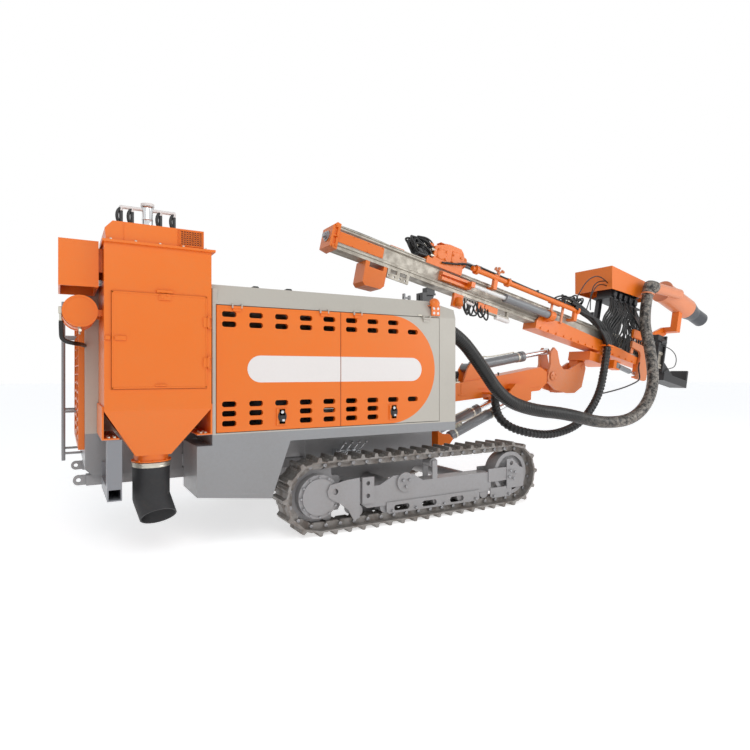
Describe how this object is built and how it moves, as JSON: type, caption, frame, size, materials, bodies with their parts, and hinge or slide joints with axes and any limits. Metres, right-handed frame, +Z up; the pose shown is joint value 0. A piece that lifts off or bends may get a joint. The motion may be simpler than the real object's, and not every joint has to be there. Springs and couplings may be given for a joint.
{
  "type": "crawler drilling rig",
  "caption": "Tracked surface drilling rig: full-width engine hood with top-hung doors, dust collector, folding boom and a long feed laid back over the hood.",
  "frame": {"origin": "centre of the machine's bounding box on the ground, measured without the free hoses", "axes": "+X to the machine's front (the free end of the feed), +Y to its left, +Z up"},
  "size_m": [9.9914, 2.508, 3.2438],
  "materials": {
    "track_steel": "worn rolled steel",
    "chassis_grey": "semi-gloss paint",
    "rail_grey": "semi-gloss paint",
    "hood_grey": "powder coat",
    "engine": "painted casting",
    "rubber": "matt rubber",
    "orange_paint": "gloss paint",
    "feed_silver": "satin",
    "bare_steel": "machined",
    "chrome_rod": "hard chrome",
    "cylinder_grey": "semi-gloss paint",
    "valve_alloy": "cast",
    "black_steel": "semi-gloss paint"
  },
  "bodies": {
    "root": {"air_tank": "orange_paint", "chassis": "chassis_grey", "deck": "rail_grey", "dust_case": "orange_paint", "dust_cover": "orange_paint", "dust_duct": "rubber", "dust_hopper": "orange_paint", "dust_spout": "rubber", "dust_stand": "orange_paint", "engine_block": "engine", "feed_rest": "rail_grey", "front_frame": "chassis_grey", "hood_roof": "hood_grey", "hood_walls": "hood_grey", "idlers": "chassis_grey", "ladder": "rail_grey", "pulse_valves": "valve_alloy", "rear_base": "orange_paint", "rear_box": "orange_paint", "rear_grille": "orange_paint", "rollers": "chassis_grey", "side_tanks": "rail_grey", "sprockets": "chassis_grey", "track_frame_left": "chassis_grey", "track_frame_right": "chassis_grey", "track_left": "track_steel", "track_right": "track_steel"},
    "swing": {"swing_post": "orange_paint"},
    "boom": {"boom": "orange_paint", "hose_bundle": "rubber"},
    "lift_barrels": {"lift_barrels": "cylinder_grey"},
    "lift_rods": {"lift_rods": "chrome_rod"},
    "tilt_barrel": {"tilt_barrel": "cylinder_grey"},
    "tilt_rod": {"tilt_rod": "chrome_rod"},
    "head": {"boom_head": "orange_paint"},
    "bracket": {"tilt_bracket": "orange_paint"},
    "cradle": {"cradle": "orange_paint", "extension_barrel": "cylinder_grey", "valve_cover": "orange_paint", "valve_block": "black_steel", "hook_bracket": "orange_paint", "precleaner": "orange_paint", "precleaner_arm": "orange_paint"},
    "swing_barrel": {"swing_barrel": "cylinder_grey"},
    "swing_rod": {"swing_rod": "chrome_rod"},
    "feed": {"feed_beam": "feed_silver", "feed_end": "orange_paint", "extension_rod": "chrome_rod", "rod_changer": "orange_paint", "drill_table": "black_steel", "beam_guard": "orange_paint", "beam_guide": "feed_silver"},
    "drifter": {"drifter": "orange_paint"},
    "chuck": {"chuck": "bare_steel"},
    "door_rear_right": {"door_rear_right": "orange_paint"},
    "door_rear_left": {"door_rear_left": "orange_paint"},
    "door_front_right": {"door_front_right": "orange_paint", "door_front_end_right": "hood_grey"},
    "door_front_left": {"door_front_left": "orange_paint", "door_front_end_left": "hood_grey"},
    "dust_door": {"dust_door": "orange_paint"}
  },
  "joints": [
    {"name": "boom_swing", "type": "hinge", "parent": "root", "child": "swing", "pos_m": [-0.87374, -0.073, 1], "axis": [0, 0, 1], "range_deg": [-30, 30], "deforming": ["dust_duct", "hose_bundle"]},
    {"name": "boom_lift", "type": "hinge", "parent": "swing", "child": "boom", "pos_m": [-0.65375, -0.073, 1.285], "axis": [0, -1, 0], "range_deg": [0, 50], "deforming": ["dust_duct", "hose_bundle"]},
    {"name": "lift_barrel_turn", "type": "hinge", "parent": "swing", "child": "lift_barrels", "pos_m": [-0.69374, -0.073, 0.705], "axis": [0, -1, 0], "range_deg": [-5, 60]},
    {"name": "lift_rod_slide", "type": "slide", "parent": "lift_barrels", "child": "lift_rods", "axis": [0.9349, 0, 0.3549], "range_m": [-0.02, 0.5]},
    {"name": "head_level", "type": "hinge", "parent": "boom", "child": "head", "pos_m": [1.34625, -0.073, 1.5], "axis": [0, -1, 0], "range_deg": [-51, 1]},
    {"name": "tilt_barrel_turn", "type": "hinge", "parent": "boom", "child": "tilt_barrel", "pos_m": [-0.18374, -0.073, 1.62], "axis": [0, -1, 0], "range_deg": [-40, 5]},
    {"name": "tilt_rod_slide", "type": "slide", "parent": "tilt_barrel", "child": "tilt_rod", "axis": [0.9873, 0, 0.1591], "range_m": [-0.02, 0.5]},
    {"name": "feed_tilt", "type": "hinge", "parent": "head", "child": "bracket", "pos_m": [1.9953, -0.073, 1.63262], "axis": [0, 1, 0], "range_deg": [0, 95], "deforming": ["dust_duct", "hose_bundle"]},
    {"name": "feed_swing", "type": "hinge", "parent": "bracket", "child": "cradle", "pos_m": [2.23822, -0.278, 1.93829], "axis": [0.2164, 0, 0.9763], "range_deg": [-20, 20], "deforming": ["dust_duct", "hose_bundle"]},
    {"name": "feed_extension", "type": "slide", "parent": "cradle", "child": "feed", "axis": [-0.9763, 0, 0.2164], "range_m": [-0.4, 0.4], "deforming": ["dust_duct", "hose_bundle"]},
    {"name": "drifter_feed", "type": "slide", "parent": "feed", "child": "drifter", "axis": [0.9763, 0, -0.2164], "range_m": [-0.9, 4]},
    {"name": "chuck_spin", "type": "hinge", "parent": "drifter", "child": "chuck", "pos_m": [-0.41189, -0.278, 2.97649], "axis": [0.9763, 0, -0.2164], "continuous": true},
    {"name": "door_rear_right_open", "type": "hinge", "parent": "root", "child": "door_rear_right", "pos_m": [-2.98374, -1.187, 2.123], "axis": [-1, 0, 0], "range_deg": [0, 80]},
    {"name": "door_rear_left_open", "type": "hinge", "parent": "root", "child": "door_rear_left", "pos_m": [-2.98374, 1.241, 2.123], "axis": [1, 0, 0], "range_deg": [0, 80]},
    {"name": "door_front_right_open", "type": "hinge", "parent": "root", "child": "door_front_right", "pos_m": [-2.98374, -1.187, 2.123], "axis": [-1, 0, 0], "range_deg": [0, 80]},
    {"name": "door_front_left_open", "type": "hinge", "parent": "root", "child": "door_front_left", "pos_m": [-2.98374, 1.241, 2.123], "axis": [1, 0, 0], "range_deg": [0, 80]},
    {"name": "dust_door_open", "type": "hinge", "parent": "root", "child": "dust_door", "pos_m": [-3.90475, -1.241, 1.8], "axis": [0, 0, 1], "range_deg": [0, 90]},
    {"name": "swing_barrel_turn", "type": "hinge", "parent": "bracket", "child": "swing_barrel", "pos_m": [2.41169, -0.485, 1.6581], "axis": [0.2164, 0, 0.9763], "range_deg": [-40, 40]},
    {"name": "swing_rod_slide", "type": "slide", "parent": "swing_barrel", "child": "swing_rod", "axis": [0.9621, 0.1698, -0.2133], "range_m": [-0.2, 0.2]}
  ],
  "couplings": [
    {"joint": "lift_barrel_turn", "follows": "boom_lift", "ratio": 0.77575},
    {"joint": "lift_rod_slide", "follows": "boom_lift", "m_per_rad": 0.44118},
    {"joint": "head_level", "follows": "boom_lift", "ratio": -1},
    {"joint": "tilt_barrel_turn", "follows": "boom_lift", "ratio": -0.11108},
    {"joint": "tilt_rod_slide", "follows": "boom_lift", "m_per_rad": 0.31345},
    {"joint": "swing_barrel_turn", "follows": "feed_swing", "ratio": 1.2906},
    {"joint": "swing_rod_slide", "follows": "feed_swing", "m_per_rad": 0.23656}
  ]
}
